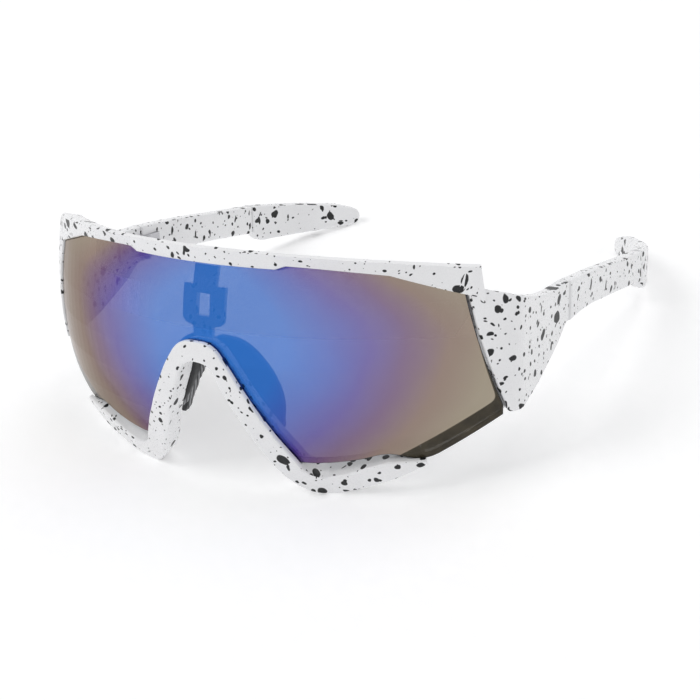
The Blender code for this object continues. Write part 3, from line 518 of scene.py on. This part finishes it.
def pad_blank(node):
    """An even, closed mesh of a CAD pad, fine enough to carry ribs."""
    work = bpy.data.objects.new("pad_work", frame["nodes"][node].data.copy())
    bpy.context.scene.collection.objects.link(work)
    remesh = work.modifiers.new("even", "REMESH")
    remesh.mode = "VOXEL"
    remesh.voxel_size = PAD_VOXEL
    bpy.context.view_layer.update()
    done = work.evaluated_get(bpy.context.evaluated_depsgraph_get())
    mesh = bpy.data.meshes.new_from_object(done)
    bpy.data.objects.remove(work)
    return mesh


def build_pad(side):
    """A nose pad: the CAD pad with slanted ribs sunk into the face towards the nose."""
    node = "nose_pad_" + side
    mesh = pad_blank(node)
    to_nose = -1.0 if side == "left" else 1.0
    normals = [v.normal.copy() for v in mesh.vertices]
    ribs = mesh.attributes.new("rib", "FLOAT", "POINT")
    front = min(front_point(v.co)[1] for v in mesh.vertices)
    for i, (vertex, normal) in enumerate(zip(mesh.vertices, normals)):
        x, y, z = front_point(vertex.co)
        towards = clamp((normal.x * to_nose - RIB_TURN_START) / RIB_TURN_FADE)
        behind = clamp((y - front - RIB_START) / RIB_FADE)
        share = towards * behind
        wave = 0.5 + 0.5 * math.sin((y * RIB_SLANT + z) / RIB_PITCH * 2.0 * math.pi)
        vertex.co -= normal * (RIB_DEPTH * share * (1.0 - wave))
        ribs.data[i].value = share * wave
    mesh.materials.clear()
    mesh.materials.append(RUBBER)
    for face in mesh.polygons:
        face.use_smooth = True
    new_piece("ribbed_pad_" + side, mesh, "front", node)


build_lens()
for side in ("left", "right"):
    build_pad(side)

NODE_FINISH = {
    "front_frame": WHITE, "nose_frame": WHITE, "centre_clip": WHITE,
    "temple_left": WHITE, "temple_right": WHITE,
    "temple_tip_left": WHITE, "temple_tip_right": WHITE,
    "temple_core_left": STEEL, "temple_core_right": STEEL,
    "lens": EDGE, "nose_pad_left": RUBBER, "nose_pad_right": RUBBER,
}
for name, node in frame["nodes"].items():
    finish = NODE_FINISH.get(name)
    if finish is None:
        finish = HINGE if name.startswith("hinge_") and "leaf" in name else STEEL
    node.data.materials.clear()
    node.data.materials.append(finish)


# ======================================================================================
# stage
# ======================================================================================
FLOOR_HALF = 6.0
WORLD_SEEN = 1.02
WORLD_LIGHT = 0.46


def floor_material():
    """White studio paper that glows a little, more so far off, so that shadows stay pale
    and its far edge melts into the surround."""
    s = Shader("studio_paper")
    place = s.place()
    fibre = s.noise(place, 300.0, 3.0, 0.6)
    away = s.node("ShaderNodeVectorMath", {0: place}, operation="LENGTH").outputs["Value"]
    glow = s.spread(away, 0.3, 3.5, 0.22, 0.55)
    s.set(Base_Color=s.ramp(fibre, [(0.3, linear("f2f2f2")), (0.7, linear("f7f7f7"))]),
          Roughness=0.9, Specular_IOR_Level=0.1, Emission_Color=(1.0, 1.0, 1.0, 1.0),
          Emission_Strength=glow)
    return s.material


def build_stage():
    bm = bmesh.new()
    corners = [bm.verts.new((x * FLOOR_HALF, y * FLOOR_HALF, 0.0))
               for x, y in ((-1, -1), (1, -1), (1, 1), (-1, 1))]
    bm.faces.new(corners)
    mesh = bpy.data.meshes.new("studio_floor")
    bm.to_mesh(mesh)
    bm.free()
    mesh.materials.append(floor_material())
    floor = bpy.data.objects.new("studio_floor", mesh)
    bpy.context.scene.collection.objects.link(floor)


LIT_POINT = Vector((0.0, 0.0, 0.03))


def area_light(name, place, size, power):
    """A round soft light of a size in metres and a power in watts, aimed at the object."""
    data = bpy.data.lights.new(name, "AREA")
    data.shape = "DISK"
    data.size = size
    data.energy = power
    light = bpy.data.objects.new(name, data)
    light.location = place
    light.rotation_mode = "QUATERNION"
    light.rotation_quaternion = (LIT_POINT - Vector(place)).to_track_quat("-Z", "Y")
    bpy.context.scene.collection.objects.link(light)


def build_lights():
    area_light("key_softbox", (-1.9, -1.6, 3.0), 2.4, 46.0)
    area_light("fill_softbox", (2.8, -0.8, 1.6), 2.0, 9.0)
    area_light("top_softbox", (0.3, 1.2, 3.4), 2.6, 27.0)


def build_world():
    """A white surround, full in reflections and weaker as light on matt surfaces."""
    world = bpy.data.worlds.new("studio_world")
    world.use_nodes = True
    nodes, links = world.node_tree.nodes, world.node_tree.links
    background = nodes["Background"]
    background.inputs["Color"].default_value = (0.98, 0.985, 1.0, 1.0)
    path = nodes.new("ShaderNodeLightPath")
    strength = nodes.new("ShaderNodeMapRange")
    strength.inputs["To Min"].default_value = WORLD_SEEN
    strength.inputs["To Max"].default_value = WORLD_LIGHT
    links.new(path.outputs["Is Diffuse Ray"], strength.inputs["Value"])
    links.new(strength.outputs[0], background.inputs["Strength"])
    bpy.context.scene.world = world
    bpy.context.scene.view_settings.view_transform = "Standard"


def build_camera():
    data = bpy.data.cameras.new("camera")
    data.lens = 86.52
    data.sensor_width = 36.0
    data.clip_start = 0.01
    camera = bpy.data.objects.new("camera", data)
    camera.matrix_world = Matrix((
        (0.86374, -0.13730, 0.48487, 0.23716),
        (0.48855, 0.46406, -0.73890, -0.37105),
        (-0.12355, 0.87510, 0.46791, 0.23304),
        (0.0, 0.0, 0.0, 1.0)))
    bpy.context.scene.collection.objects.link(camera)
    bpy.context.scene.camera = camera


build_stage()
build_lights()
build_world()
build_camera()
